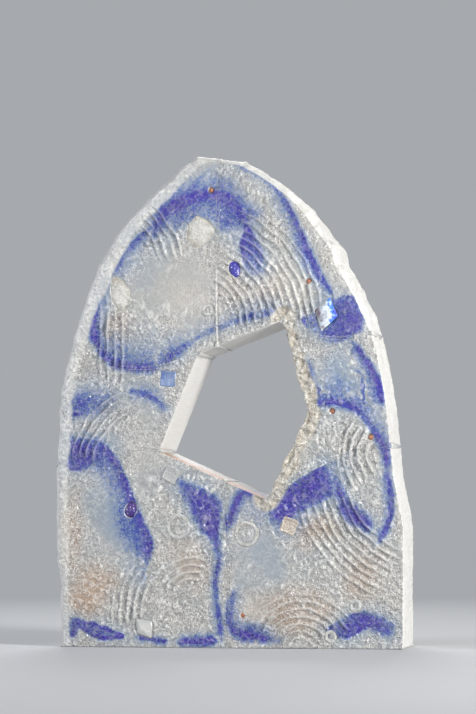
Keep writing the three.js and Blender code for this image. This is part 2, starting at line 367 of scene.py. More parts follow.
# %% Blue powder
BLUE_RIBBONS = [
    # crown
    ([(-16, 338), (-45, 309), (-70, 286), (-86, 263)], 13, 3, 0.45, 0.7),
    ([(-88, 268), (-96, 240), (-98, 222), (-88, 206)], 8, 3, 0.6, 0.95),
    ([(-95, 212), (-83, 202), (-68, 198), (-50, 198)], 16, 4, 0.8, 0.6),
    ([(-52, 198), (-34, 211), (-17, 222), (-2, 228), (22, 235), (42, 238)], 11, 6, 0.55, 0.3),
    ([(-54, 290), (-46, 309), (-27, 320), (-8, 322), (7, 313), (14, 299)], 12, 16, 0.7, 1.0),
    ([(2, 346), (21, 336), (38, 322), (49, 304), (57, 283), (66, 265), (76, 249)], 3, 9, 0.3, 0.85),
    # flanks
    ([(91, 215), (103, 198), (109, 183), (111, 171)], 3, 7, 0.95, 0.6),
    ([(57, 201), (60, 187), (67, 180)], 6, 4, 0.85, 0.5),
    ([(62, 172), (79, 173), (94, 166), (104, 153), (112, 140), (114, 125)], 9, 4, 0.65, 0.9),
    ([(114, 126), (117, 107), (116, 90), (109, 75)], 3, 7, 0.65, 0.9),
    ([(-94, 147), (-81, 134), (-71, 112), (-63, 91), (-56, 76), (-57, 61)], 3, 19, 1.0, 0.85),
    ([(-72, 182), (-55, 178), (-43, 167)], 7, 7, 0.4, 0.55),
    # knees and feet
    ([(0, 84), (6, 102), (14, 111), (21, 107), (29, 104)], 4, 6, 0.8, 1.0),
    ([(26, 104), (38, 108), (55, 118), (72, 129)], 4, 22, 1.0, 0.95),
    ([(-4, 68), (-8, 48), (-7, 28), (-4, 5)], 4, 4, 0.6, 0.6),
    ([(7, 43), (1, 28), (3, 14), (12, 9), (37, 5)], 9, 4, 0.5, 0.85),
    ([(-64, 7), (-43, 4)], 4, 4, 0.95, 0.95),
    ([(-35, 4), (-8, 5)], 5, 4, 0.95, 0.9),
]
BLUE_PATCHES = [
    ([(13, 301), (21, 292), (27, 281), (28, 269), (21, 262), (12, 267), (9, 284)], 6, 0.95),
    ([(97, 224), (86, 217), (68, 217), (54, 231), (63, 239), (75, 247), (92, 248), (98, 236)], 6, 0.95),
    ([(74, 171), (60, 178), (72, 204), (98, 196), (100, 168)], 16, 0.4),
    ([(-117, 162), (-119, 172), (-108, 183), (-88, 186), (-76, 177), (-92, 164)], 12, 0.75),
    ([(-116, 141), (-119, 152), (-104, 149), (-91, 150), (-82, 138), (-94, 130), (-106, 124),
      (-119, 129)], 7, 1.0),
    ([(88, 88), (100, 81), (105, 90), (94, 99), (85, 111), (78, 124), (71, 131), (79, 99)], 6, 1.0),
    ([(40, 110), (30, 104), (38, 109), (56, 119), (71, 130), (78, 108), (60, 99), (44, 92),
      (32, 92)], 6, 1.35),
    ([(-5, 84), (-6, 62), (-12, 76), (-25, 92), (-39, 120), (-26, 117), (-4, 104)], 7, 1.15),
    ([(100, 14), (116, 8), (119, 18), (107, 25), (92, 26), (80, 20), (69, 12), (84, 7)], 6, 1.0),
    ([(-106, 12), (-113, 7), (-113, 21), (-100, 18), (-84, 13), (-74, 7), (-92, 5)], 5, 0.95),
]
HAZE_CLOUDS = [
    (-58, 213, 30, 20, 0.9), (-86, 98, 24, 34, 0.9), (27, 62, 28, 24, 0.8), (84, 194, 32, 34, 1.0),
    (48, 111, 26, 14, 0.7), (-100, 172, 22, 16, 0.7), (-30, 314, 44, 26, 0.9), (-20, 108, 24, 18, 0.6),
    (-66, 284, 28, 30, 0.7),
]
BLUSH_CLOUDS = [
    (-98, 36, 22, 30, 1.0), (60, 84, 26, 18, 0.8), (44, 24, 40, 22, 0.7), (-26, 60, 20, 20, 0.5),
    (98, 52, 20, 26, 0.6), (-84, 226, 20, 14, 0.5), (20, 255, 26, 22, 0.35), (-112, 80, 12, 32, 0.6),
]
CALM_CLOUDS = [
    (-36, 256, 40, 34, 1.0), (-84, 90, 28, 36, 1.0), (24, 62, 30, 26, 1.0), (48, 260, 20, 26, 0.8),
    (20, 26, 18, 14, 0.8), (84, 194, 22, 20, 0.7), (-58, 130, 22, 26, 0.6), (-34, 58, 18, 18, 0.6),
]
print("blue powder lies in", len(BLUE_RIBBONS), "ribbons and", len(BLUE_PATCHES), "patches")

# %% Density of the powder
# Powder lies within this many times a ribbon's reach or a border's width.
FADE = 3.8


def close_to(flat, line, margin):
    """Indices of the places that may lie within this margin of a line."""
    inside = (flat > line.min(0) - margin) & (flat < line.max(0) + margin)
    return np.flatnonzero(inside.all(axis=1))


def cloud(flat, clouds, stray):
    """Strength of a few soft oval clouds at flat places."""
    total = np.zeros(len(flat))
    for x, z, wide, high, strength in clouds:
        share = np.hypot((flat[:, 0] - x) / wide, (flat[:, 1] - z) / high) + 0.35 * stray
        total = np.maximum(total, strength * ramp(share, 1.15, 0.1))
    return total


def blue_powder(places):
    """Density of powder, haze, blush and calm glass at these places, from 0 to 1."""
    level = places * np.array([1, 0, 1])
    stray = noise(level, 12, 32)
    edge = 0.45 * stray + 0.5 * noise(level, 5, 33) + 0.35 * noise(level, 2.2, 36)
    drawn = 1.02 + 0.22 * noise(level, 15, 34) + 0.2 * noise(level * np.array([1, 1, 0.3]), 2.4, 35)
    swing = noise(level, 21, 39)
    flat = level[:, XZ]
    powder = np.zeros(len(flat))
    veiled = np.zeros(len(flat))
    for points, left_reach, right_reach, first, last in BLUE_RIBBONS:
        line = smooth_line(points)
        near = close_to(flat, line, FADE * max(left_reach, right_reach))
        gap, along, left, _ = from_line(flat[near], line)
        reach = np.where(left, left_reach, right_reach) * (1 + 0.3 * swing[near])
        gap = np.maximum(gap + 1.1 * edge[near], 0)
        share = gap / reach
        ends = 0.4 + 0.6 * ramp(along, 0, 0.12) * ramp(along, 1, 0.88)
        density = (first + (last - first) * along) * ends * (0.9 + 0.25 * swing[near])
        thick = 0.48 * ramp(gap, 0.6 + 0.35 * reach, 0.8) + 0.52 * ramp(share, 1.6, 0.2)
        powder[near] = np.maximum(powder[near], density * thick)
        veiled[near] = np.maximum(veiled[near], density * ramp(share, 2.2, 0.3))
    for corners, border, density in BLUE_PATCHES:
        closed = smooth_line([*corners, corners[0]])
        near = close_to(flat, closed, FADE * border)
        gap = from_line(flat[near], closed)[0]
        inwards = np.where(inside_patch(flat[near], closed[:-1]), gap, -gap) + 2.0 * edge[near]
        away = np.linalg.norm(flat[near] - closed[0], axis=1)
        away = away / np.linalg.norm(closed - closed[0], axis=1).max() + 0.2 * stray[near]
        fill = density * (0.92 - 0.6 * np.clip(away, 0, 1)) * ramp(inwards, -0.6 * border, border)
        hem = density * ramp(np.abs(inwards - 0.3 * border), 2.4, 0.4) * ramp(swing[near], -0.2, 0.4)
        powder[near] = np.maximum(powder[near], np.maximum(fill, hem))
        veiled[near] = np.maximum(veiled[near], 0.9 * density * ramp(inwards, -2 * border, 0))
    haze = np.maximum(cloud(flat, HAZE_CLOUDS, stray), 0.8 * veiled)
    blush = cloud(flat, BLUSH_CLOUDS, stray)
    calm = cloud(flat, CALM_CLOUDS, stray)
    return np.clip(1.07 * powder * drawn, 0, 1), haze, blush, calm


# %% [markdown]
# ## Combed arcs
# The mould was combed with a toothed tool, which left curved sweeps of parallel ridges. They are real
# geometry, about five millimetres apart, and a little noise lets them waver and break up.

# %% Combed arcs
COMB_PITCH = 5.3
COMB_HEIGHT = 2.0
COMB_SWEEPS = [
    # centre across and up, nearest and furthest radius, first and last angle in degrees
    (-27, 227, 32, 98, 2, 64),
    (-55, 127, 38, 64, 112, 172),
    (-25, 24, 33, 60, 140, 188),
    (-25, 32, 14, 36, 75, 150),
    (126, 137, 20, 48, 146, 214),
    (148, 128, 62, 104, 196, 246),
    (53, -4, 9, 44, 28, 152),
    (-330, 215, 236, 258, -8, 8),
    (-90, 268, 36, 62, 10, 52),
]


def combed(flat, wander, broken):
    """Height of the combed ridges in millimetres at flat places."""
    height = np.zeros(len(flat))
    for x, z, nearest, furthest, first, last in COMB_SWEEPS:
        across = flat - np.array([x, z])
        radius = np.hypot(across[:, 0], across[:, 1])
        angle = np.degrees(np.arctan2(across[:, 1], across[:, 0])) % 360
        angle = np.where(angle > last + 180, angle - 360, angle)
        inside = ramp(radius, nearest - 2, nearest + 3) * ramp(radius, furthest + 2, furthest - 4)
        inside = inside * ramp(angle, first - 4, first + 6) * ramp(angle, last + 4, last - 6)
        ridge = 0.5 + 0.5 * np.cos(2 * np.pi * (radius + 1.3 * wander) / COMB_PITCH)
        height = np.maximum(height, inside * ridge ** 4 * COMB_HEIGHT * (0.75 + 0.35 * broken))
    return height


print("combed sweeps:", len(COMB_SWEEPS))

# %% [markdown]
# ## Where a vertex lies
# The front, the back, the outer rim, the window's walls and the joints each have their own finish. A
# vertex's normal says which way it faces, and the middle of the window says whether a wall looks inwards
# or outwards. A wall that lies close to a bond and runs along it is the hidden wall of a joint.

# %% Where a vertex lies
VEILS = [name for name in nodes if name.endswith("_veil")]
BLOCKS = [name for name in nodes if name.endswith("_block")]
openings = {opening["name"]: opening["box_m"] for opening in frame["record"]["physics"]["openings"]}
WINDOW_MIDDLE = np.mean(openings["window"], axis=0)[XZ] / MM
BACK_SKIN = 0.01


def read_vertices(mesh):
    """Places in millimetres and normals of a mesh's vertices."""
    places, facing = np.empty((2, 3 * len(mesh.vertices)))
    mesh.vertices.foreach_get("co", places)
    mesh.vertex_normals.foreach_get("vector", facing)
    return places.reshape(-1, 3) / MM, facing.reshape(-1, 3)


def bond_line(veil):
    """Middle line of a bond across the front view, from the window to the rim."""
    places, _ = read_vertices(nodes[veil].data)
    back = places[places[:, 1] > places[:, 1].max() - BACK_SKIN]
    flat = np.unique(back[:, XZ].round(2), axis=0)
    outwards = np.argsort(np.linalg.norm(flat - WINDOW_MIDDLE, axis=1))
    flat = flat[outwards]
    return (flat[:-1] + flat[1:]) / 2


BOND_LINES = {veil: bond_line(veil) for veil in VEILS}
print("bonds, points each:", {veil: len(line) for veil, line in BOND_LINES.items()})


# %% Regions of the surface
def outward(places, facing):
    """How much each vertex looks away from the middle of the window, from -1 to 1."""
    away = places[:, XZ] - WINDOW_MIDDLE
    return np.sum(facing[:, XZ] * away, axis=1) / np.linalg.norm(away, axis=1)


def regions(places, facing):
    """How much each vertex belongs to the front, back, rim, window wall, joint wall and base."""
    flat = places[:, XZ]
    front = ramp(-facing[:, 1], 0.66, 0.92)
    back = ramp(facing[:, 1], 0.66, 0.92)
    base = ramp(-facing[:, 2], 0.6, 0.85) * ramp(places[:, 2], 3, 1)
    wall = np.clip(1 - front - back - base, 0, 1)
    outwards = outward(places, facing)
    nearest = np.full(len(flat), np.inf)
    across_bond = np.zeros(len(flat))
    for line in BOND_LINES.values():
        gap, _, _, runs = from_line(flat, line)
        across = np.abs(np.sum(facing[:, XZ] * runs, axis=1))
        across_bond = np.where(gap < nearest, across, across_bond)
        nearest = np.minimum(nearest, gap)
    joint = wall * ramp(nearest, 2.4, 1.4) * ramp(across_bond, 0.65, 0.45)
    open_wall = wall - joint
    return {
        "front": front, "back": back, "base": base, "joint": joint,
        "rim": open_wall * (outwards > 0), "window": open_wall * (outwards <= 0),
    }


# %% [markdown]
# ## Surface of the front
# Seven things shape the cast front: a slow swell, grit from the mould, wrinkles like the skin on boiled
# milk, small flecks, the combed ridges, patches where grit and wrinkles were rubbed down, and a torn strip
# along the window's right edges. The height depends on the place alone, so a block and the bond beside it
# meet at the same level. Along the left edge the front only turns pale.

# %% Surface of the front
TORN_EDGE = np.array([(40, 231), (58, 166), (29, 105)], float)
PALE_EDGE = np.array([(-20, 349), (-74, 296), (-102, 237), (-117, 184), (-120, 130), (-120, 0)], float)


def crumbled(flat):
    """How far each place lies in the torn strip beside the window."""
    gap = from_line(flat[:, XZ], TORN_EDGE)[0]
    return ramp(gap + 2.5 * noise(flat, 8, 10), 11, 7)


def flecked(flat):
    """Where small flecks and strokes stand out of the front; the colours give them a painted white
    highlight.
    """
    return ramp(noise(flat * np.array([1, 1, 0.6]), 2.6, 37) + 0.35 * noise(flat, 20, 38), 0.68, 0.85)


def wrinkled(flat):
    """Where fine crests wander over the front, like the skin on boiled milk."""
    return ramp(np.abs(noise(flat, 3.4, 43) + 0.45 * noise(flat, 1.8, 44)), 0.3, 0.03)


def front_height(places):
    """Height of the front, and of its combed ridges alone, in millimetres."""
    flat = places * np.array([1, 0, 1])
    swell = 0.55 * noise(flat, 36, 3) + 0.3 * noise(flat, 14, 4)
    rubbed = cloud(flat[:, XZ], CALM_CLOUDS, noise(flat, 12, 32))
    grit = 0.26 * noise(flat, 3.4, 6) + 0.32 * noise(flat, 1.7, 7) + 0.6 * wrinkled(flat)
    grit = grit * (1 - 0.75 * rubbed) + 0.5 * flecked(flat)
    crumble = crumbled(flat)
    ridges = combed(flat[:, XZ], noise(flat, 11, 1), noise(flat, 5, 2)) * (1 - crumble)
    torn = crumble * (1.6 * noise(flat, 4.5, 8) + 1.0 * noise(flat, 2.1, 9) - 0.9)
    return swell + grit + ridges + torn, ridges


# %% [markdown]
# ## Walls
# The left rim is rounded and rippled, as it came from the mould. The upper right slope is rough, with
# large flat chips, and the right-hand wall is even. In the window the left and top walls were sawn clean,
# and the two on the right are crumbly.

# %% Surface of the walls
def rim_height(places, facing):
    """Height of the outer rim over its smooth shape, in millimetres."""
    along = places * np.array([1, 0.35, 1])
    left = ramp(facing[:, 0], 0.1, -0.5)
    slope = ramp(facing[:, 0], 0.1, 0.45) * ramp(facing[:, 2], 0.12, 0.4)
    ripples = 1.1 * noise(along, 13, 11) + 0.6 * noise(along, 5, 12)
    chips = 1.2 - 3.0 * np.abs(noise(places, 14, 13)) - 1.2 * np.abs(noise(places, 5, 14))
    even = 0.5 * noise(places, 22, 15) + 0.3 * noise(places, 4, 16) + 0.25 * noise(places, 1.9, 17)
    return left * ripples + slope * chips + (1 - np.clip(left + slope, 0, 1)) * even


def window_height(places, facing):
    """Height of the window's walls over their planes, in millimetres."""
    crumbly = ramp(facing[:, 0], -0.3, -0.7)
    crumbs = 1.5 * noise(places, 5, 21) + 0.9 * noise(places, 2.4, 22)
    sawn = 0.08 * noise(places, 4, 23)
    return crumbly * crumbs + (1 - crumbly) * sawn


# %% [markdown]
# ## Blocks
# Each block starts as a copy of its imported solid. A voxel remesh turns it into even quads, fine enough to
# carry ridges and grit. On the back, the base and the joint walls they are merged two by two. Then every
# vertex moves along its normal, the corners that the remesh rounded off beside a joint are filled again,
# and the colours are written as attributes of the vertices for the material to read.

# %% Even quads
VOXEL = 0.72 * MM
MERGE = 0.001 * MM


def merged_copy(node):
    """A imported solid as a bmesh, with its loose triangles joined up."""
    bm = bmesh.new()
    bm.from_mesh(nodes[node].data)
    bmesh.ops.remove_doubles(bm, verts=bm.verts, dist=MERGE)
    return bm


def even_quads(bm, name):
    """The same closed shape in even quads of the voxel's size."""
    rough = link_object(name + "_rough", to_mesh(bm, name + "_rough"))
    remesh = rough.modifiers.new("even_quads", "REMESH")
    remesh.mode = "VOXEL"
    remesh.voxel_size = VOXEL
    mesh = bpy.data.meshes.new_from_object(rough.evaluated_get(bpy.context.evaluated_depsgraph_get()))
    mesh.name = name
    bpy.data.objects.remove(rough)
    return mesh


def coarsen(mesh):
    """Merges the quads of the back, the base and the joint walls two by two."""
    places, facing = read_vertices(mesh)
    part = regions(places, facing)
    plain = part["joint"] + part["base"] + part["back"] > 0.99
    bm = bmesh.new()
    bm.from_mesh(mesh)
    chosen = [vertex for vertex, far in zip(bm.verts, plain) if far]
    bmesh.ops.unsubdivide(bm, verts=chosen, iterations=2)
    bm.to_mesh(mesh)
    bm.free()
    mesh.shade_smooth()


# %% Colours of a block
def write_attribute(mesh, name, values):
    """One number for each vertex, which a material can read by name."""
    mesh.attributes.new(name, "FLOAT", "POINT").data.foreach_set("value", values.astype(np.float32))


def write_colours(mesh, places, facing, part, ridges, rib, bond):
    """Writes how much of each tint lies at each vertex. The white frost tint is partly painted light."""
    powder, haze, blush, calm = blue_powder(places)
    flat = places * np.array([1, 0, 1])
    sides = part["rim"] + part["window"]
    right = ramp(facing[:, 0], 0.3, 0.7)
    shown = part["front"] + 0.5 * part["back"] + (0.35 - 0.25 * right) * sides
    level = ramp(facing[:, 2], 0.5, 0.8)
    sill = part["window"] * level * (0.15 + 0.8 * ramp(places[:, 1], 0, -24))
    # The sawn walls of the window are painted near white: partly their frosted finish, partly painted light
    # where the lamps leave them in shade.
    sawn = part["window"] * ramp(facing[:, 0], -0.5, 0.2) * (1 - level)
    torn = crumbled(flat) * part["front"] + part["window"] * ramp(facing[:, 0], -0.3, -0.7)
    from_edge = from_line(flat[:, XZ], PALE_EDGE)[0] + 1.2 * noise(flat, 7, 47)
    edge = part["front"] * ramp(from_edge, 6.2, 3.4)
    # Painted highlights: the crests of flecks, wrinkles and combed ridges are painted white, as if they
    # caught the light.
    fleck_and_wrinkle_highlights = np.maximum(0.85 * flecked(flat), 0.42 * wrinkled(flat))
    fleck_and_wrinkle_highlights = fleck_and_wrinkle_highlights * (1 - 0.72 * ramp(powder, 0, 0.45)) * (1 - 0.7 * calm)
    comb_crest_highlights = 0.85 * (ridges / COMB_HEIGHT) ** 2 * (1 - 0.5 * powder)
    painted_crest_highlight = (part["front"] + 0.5 * part["back"]) * np.maximum(comb_crest_highlights, fleck_and_wrinkle_highlights)
    # Painted light: the rounded corners beside a joint are painted frost-white, so that the shade in the
    # groove does not show.
    corner = part["joint"] * ramp(np.abs(facing[:, 1]), 0.35, 0.15)
    # Frosted white of the rim, with painted light: walls that face right, towards the key lamp, are painted
    # whiter.
    rim_frost_and_right_light = 0.74 + 0.19 * right + 0.14 * noise(places, 7, 45) + 0.14 * noise(places, 2, 46)
    still = 0.55 * part["rim"] + sawn + 0.6 * edge
    tints = {
        "powder": np.maximum(powder * shown * (1 - torn) * (1 - 0.8 * edge), bond),
        "haze": haze * shown,
        "blush": blush,
        "sand": 0.85 * torn,
        "calm": np.maximum(calm * (part["front"] + part["back"]), still),
        "amber": sill,
        "matt": sides,
        # Frost: the frosted white of the rim and the sawn walls, plus painted light on right-facing walls,
        # on sawn walls and in joint corners, and painted highlights on crests and flecks.
        "frost_and_painted_light": np.clip((part["rim"] + corner) * rim_frost_and_right_light + 0.95 * sawn + painted_crest_highlight + rib + 0.45 * edge, 0, 1),
    }
    for tint, values in tints.items():
        write_attribute(mesh, tint, values)


# %% Surface of a block
CORNER_FILL = 0.35
# The back has this share of the front's relief, without the combed ridges.
BACK_SHARE = 0.6
SLOTS = {part["node"]: part["material_slot"] for part in frame["record"]["subparts"]}
print("material slots:", len(set(SLOTS.values())))


def surface_block(mesh):
    """Moves the vertices of a block to its cast surface and writes its colours."""
    places, facing = read_vertices(mesh)
    part = regions(places, facing)
    height, ridges = front_height(places)
    lift = part["front"] * height + BACK_SHARE * part["back"] * (height - ridges)
    lift += part["rim"] * rim_height(places, facing) + part["window"] * window_height(places, facing)
    moved = places + facing * lift[:, None]
    corner = part["joint"] * ramp(-facing[:, 1], 0.05, 0.3)
    moved[:, 1] -= corner * (height + CORNER_FILL)
    corner = part["joint"] * ramp(facing[:, 1], 0.05, 0.3)
    moved[:, 1] += corner * (BACK_SHARE * (height - ridges) + CORNER_FILL)
    moved[:, 2] = np.where(part["base"] > 0.5, 0, np.maximum(moved[:, 2], 0))
    mesh.vertices.foreach_set("co", (moved * MM).ravel())
    mesh.update()
    write_colours(mesh, places, facing, part, ridges, 0, 0)


def finish_piece(mesh, node, material):
    """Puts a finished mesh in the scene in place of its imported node."""
    mesh.materials.append(material)
    piece = link_object(mesh.name, mesh)
    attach(piece, "root")
    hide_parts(node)


# %% [markdown]
# ## Cast glass
# Glass cast from broken pieces comes out milky, with a sugary skin. Light enters it and comes out again a
# little way off, so it glows at the edges. The colour runs from grey-white to blue where the powder lies.
# The skin's grains carry painted light and shade, and small painted glints stand for its sparkle.

# %% Helpers for glass
MIXED_COLOUR = 2
GLASS_IOR = 1.52


def spread(tree, value, low, high, to_low=0, to_high=1):
    """A value moved from one range to another and held inside it."""
    return add(tree, "MapRange", {}, {
        "Value": value, "From Min": low, "From Max": high, "To Min": to_low, "To Max": to_high,
    }).outputs["Result"]


def blend(tree, factor, first, second, how="MIX"):
    """A colour between two colours, or the first one multiplied by the second."""
    return add(tree, "Mix", {"data_type": "RGBA", "blend_type": how}, {
        "Factor_Float": factor, "A_Color": first, "B_Color": second,
    }).outputs[MIXED_COLOUR]


def colour_run(tree, value, stops):
    """A colour that runs through these stops as the value rises."""
    run = add(tree, "ValToRGB", {}, {"Fac": value})
    elements = run.color_ramp.elements
    first, *between, last = stops
    for element, position in ((elements[0], first), (elements[1], last)):
        element.position = position
        element.color = linear(stops[position])
    for position in between:
        elements.new(position).color = linear(stops[position])
    return run.outputs["Color"]


def lumps(tree, place, size, detail=2.0):
    """Procedural noise with lumps of this size, in metres."""
    return add(tree, "TexNoise", {}, {"Vector": place, "Scale": 1 / size, "Detail": detail}).outputs["Fac"]


def bumped(tree, height, strength, depth, **under):
    """The normal of a skin with bumps of this depth, in millimetres."""
    inputs = {"Height": height, "Strength": strength, "Distance": depth * MM, **under}
    return add(tree, "Bump", {}, inputs).outputs["Normal"]


def glass(tree, inputs):
    """Ends a material with a glass of these values."""
    shader = add(tree, "BsdfPrincipled", {}, {"IOR": GLASS_IOR, **inputs})
    add(tree, "OutputMaterial", {}, {"Surface": shader.outputs["BSDF"]})


# %% Cast glass
GRAIN_SIZE = 1.0 * MM
GRIT_SIZE = 2.4 * MM
GLINT_CELL_SIZE = 1.7 * MM
CLOUD_SIZE = 26 * MM
UNDER_POWDER = {"blush": (0.9, "#bfa791"), "haze": (0.78, "#99a8b9")}
BLUE_STOPS = {0.1: "#93a9c4", 0.34: "#5a78b2", 0.55: "#3b50a8", 0.75: "#3232a4", 0.95: "#2c18a6"}
# The frost tone paints frosted white and, on the blocks, painted light and painted highlights; on opals and
# chips it is their cream.
OVER_POWDER = {"sand": "#cfc6b6", "amber": "#c4937a", "frost_and_painted_light": "#efeeeb"}
GLINT_COLOUR = "#fbfbfc"


def cast_glass(name, shady, pale):
    """Kiln-cast glass, rough from the mould: milky, sugary, with blue powder inside."""
    material, tree, place = new_material(name)
    grain = lumps(tree, place, GRAIN_SIZE, 1.0)
    grit = lumps(tree, place, GRIT_SIZE)
    clouds = lumps(tree, place, CLOUD_SIZE, 3.0)
    glint_cells = add(tree, "TexVoronoi", {}, {"Vector": place, "Scale": 1 / GLINT_CELL_SIZE}).outputs
    tints = {
        tint: add(tree, "Attribute", {"attribute_name": tint}, {}).outputs["Fac"]
        for tint in ("powder", "calm", "matt", *UNDER_POWDER, *OVER_POWDER)
    }
    colour = blend(tree, spread(tree, clouds, 0.35, 0.65), shady, pale)
    for tint, (strength, tone) in UNDER_POWDER.items():
        colour = blend(tree, times(tree, tints[tint], strength), colour, tone)
    # The border of a blue patch is made of specks, and its middle is dense.
    powder = times(tree, tints["powder"], spread(tree, grain, 0.3, 0.7, 0.5, 1.5))
    powder = times(tree, powder, spread(tree, grit, 0.3, 0.7, 0.76, 1.24))
    blue = colour_run(tree, powder, BLUE_STOPS)
    colour = blend(tree, spread(tree, powder, 0.02, 0.4), colour, blue)
    for tint, tone in OVER_POWDER.items():
        colour = blend(tree, tints[tint], colour, tone)
    # Painted light and shade: each grain of the skin is painted a little lighter or darker than the next,
    # and a few painted glints stand for its sparkle.
    calmed = spread(tree, tints["calm"], 0, 1, 1, 0.3)
    rough = times(tree, calmed, spread(tree, clouds, 0.38, 0.62, 0.55, 1.1))
    shade = times(tree, spread(tree, grain, 0.3, 0.7, 0.66, 1.2), spread(tree, grit, 0.3, 0.7, 0.84, 1.1))
    colour = blend(tree, rough, colour, shade, "MULTIPLY")
    chosen = spread(tree, glint_cells["Color"], 0.58, 0.6)
    glint = times(tree, chosen, spread(tree, glint_cells["Distance"], 0.38, 0.2))
    glint = times(tree, times(tree, glint, rough), spread(tree, tints["powder"], 0, 0.3, 1, 0.12))
    glint = times(tree, glint, spread(tree, tints["amber"], 0, 0.5, 1, 0))
    colour = blend(tree, glint, colour, GLINT_COLOUR)
    skin = bumped(tree, grain, rough, 1.4)
    skin = bumped(tree, grit, rough, 1.5, Normal=skin)
    # The rim and the walls of the window are matt, and the front is glossy.
    dull = times(tree, tints["matt"], 0.4)
    roughness = maths(tree, "ADD", spread(tree, grit, 0.35, 0.65, 0.06, 0.24), dull)
    glass(tree, {
        "Base Color": colour, "Roughness": roughness, "Normal": skin, "Coat Normal": skin,
        "Coat Weight": spread(tree, tints["matt"], 0, 1, 0.8, 0.1), "Coat Roughness": 0.06,
        "Subsurface Weight": 0.65, "Subsurface Radius": (1, 1, 1), "Subsurface Scale": 2 * MM,
        "Transmission Weight": 0.2,
    })
    return material


# %% Make the blocks
block_glass = cast_glass("kiln_cast_glass", "#b0b3b3", "#c9c6c1")
for node in BLOCKS:
    mesh = even_quads(merged_copy(node), node.replace("_block", "_cast"))
    coarsen(mesh)
    surface_block(mesh)
    finish_piece(mesh, node, block_glass)
    print(mesh.name, sum(len(face.vertices) - 2 for face in mesh.polygons), "triangles")

# %% [markdown]
# ## Bonds
# A bond is a thin sheet of glass between two blocks, seen only by its edge. It starts from its packed
# solid, thickened by a hair so that no gap shows. Planes slice it into short steps, and its front edge is
# split down the middle. Then the middle line rises and the border lines sink under the skin of the blocks,
# so the edge arches gently along the cast surface. At the back the whole edge sinks a little. The bond at
# the crown stands proud as a pale rib over the window.

# %% Sliced sheets
SLICE = 0.9


def sliced_sheet(veil):
    """A bond's packed sheet, cut into short steps and split along its front edge."""
    bm = merged_copy(veil)
    bmesh.ops.dissolve_limit(bm, angle_limit=math.radians(0.1), verts=bm.verts, edges=bm.edges)
    low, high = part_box(veil)
    direction = Vector((1, 0, 0)) if high.x - low.x > high.z - low.z else Vector((0, 0, 1))
    for cut in np.arange(low @ direction / MM + SLICE, high @ direction / MM, SLICE):
        geometry = bm.verts[:] + bm.edges[:] + bm.faces[:]
        bmesh.ops.bisect_plane(
            bm, geom=geometry, dist=MERGE, plane_co=direction * cut * MM, plane_no=direction,
        )
    bm.normal_update()
    across = [
        edge for edge in bm.edges
        if len(edge.link_faces) == 2 and all(face.normal.y < -0.9 for face in edge.link_faces)
    ]
    bmesh.ops.subdivide_edges(bm, edges=across, cuts=1)
    bmesh.ops.triangulate(bm, faces=bm.faces)
    return to_mesh(bm, veil.replace("_veil", "_bond"))


# %% Make the bonds
BOND_GROWTH = 0.7
EDGE_GROWTH = 1.4
BACK_SINK = 0.4
RIB_TOP = 262
RIB_FADE = 12
FRONT_Y = cad_low.y / MM
BACK_Y = cad_high.y / MM


def bond_mesh(veil):
    """A bond whose edges follow the surface of the blocks beside it."""
    mesh = sliced_sheet(veil)
    places, facing = read_vertices(mesh)
    part = regions(places, facing)
    height, ridges = front_height(places)
    rib = ramp(places[:, 2], RIB_TOP + RIB_FADE, RIB_TOP) * (veil == "crown_veil")
    lip = ramp(places[:, 1], FRONT_Y + 6, FRONT_Y + 3)
    middle = ramp(-facing[:, 1], 0.85, 0.97)
    outwards = outward(places, facing)
    ends = ramp(np.abs(outwards), 0.3, 0.6)
    growth = BOND_GROWTH * (1 - 0.35 * ends)
    forward = ramp(places[:, 1], FRONT_Y / 2, FRONT_Y + 2) * (1 - ends)
    moved = places + (growth + EDGE_GROWTH * lip * (1 - 0.5 * rib))[:, None] * facing
    arch = 0.3 * (1 - middle) - (0.12 + 0.7 * rib) * middle
    moved[:, 1] = np.where(lip > 0.9, places[:, 1] - height + arch, moved[:, 1])
    behind = places[:, 1] > BACK_Y - BACK_SKIN
    hidden = places[:, 1] + BACK_SHARE * (height - ridges) - BACK_SINK
    moved[:, 1] = np.where(behind, hidden, moved[:, 1])
    side = ramp(outwards, 0.4, 0.7) * rim_height(places, facing)
    side += ramp(-outwards, 0.4, 0.7) * window_height(places, facing)
    moved += facing * (side * (1 - lip))[:, None]
    moved[:, 2] = np.maximum(moved[:, 2], 0)
    mesh.vertices.foreach_set("co", (moved * MM).ravel())
    mesh.shade_flat()
    part["front"] = np.maximum(part["front"], forward)
    part["back"] = np.maximum(part["back"], behind)
    part["rim"] = (part["rim"] + part["joint"]) * (1 - forward) * (1 - behind)
    blue = (veil != "crown_veil") * (0.3 - 0.26 * np.maximum(part["front"], part["back"]))
    blue = blue * (1 - ramp(facing[:, 0], 0.2, 0.5))
    write_colours(mesh, places, facing, part, ridges, rib * middle, blue)
    return mesh


for veil in VEILS:
    mesh = bond_mesh(veil)
    finish_piece(mesh, veil, block_glass)
    print(mesh.name, len(mesh.polygons), "triangles")

# %% [markdown]
# ## Set pieces
# The finds in the front are tiles, splinters, opals, nuggets, slices of tube and grains of orange frit.
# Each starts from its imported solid. The sides of all but the frit grow by half a millimetre to a little
# over one, because real glass fuses to its socket and shows no gap.

# %% Helpers for set pieces
SEAL = 0.6


def set_piece(node, seal=SEAL):
    """A packed set piece in flat faces, grown sideways to fill its socket."""
    bm = merged_copy(node)
    bmesh.ops.dissolve_limit(bm, angle_limit=math.radians(1), verts=bm.verts, edges=bm.edges)
    low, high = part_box(node)
    middle = (low + high) / 2
    across = [1 + 2 * seal * MM / side for side in high - low]
    bmesh.ops.scale(bm, verts=bm.verts, vec=(across[0], 1, across[2]), space=Matrix.Translation(-middle))
    return bm


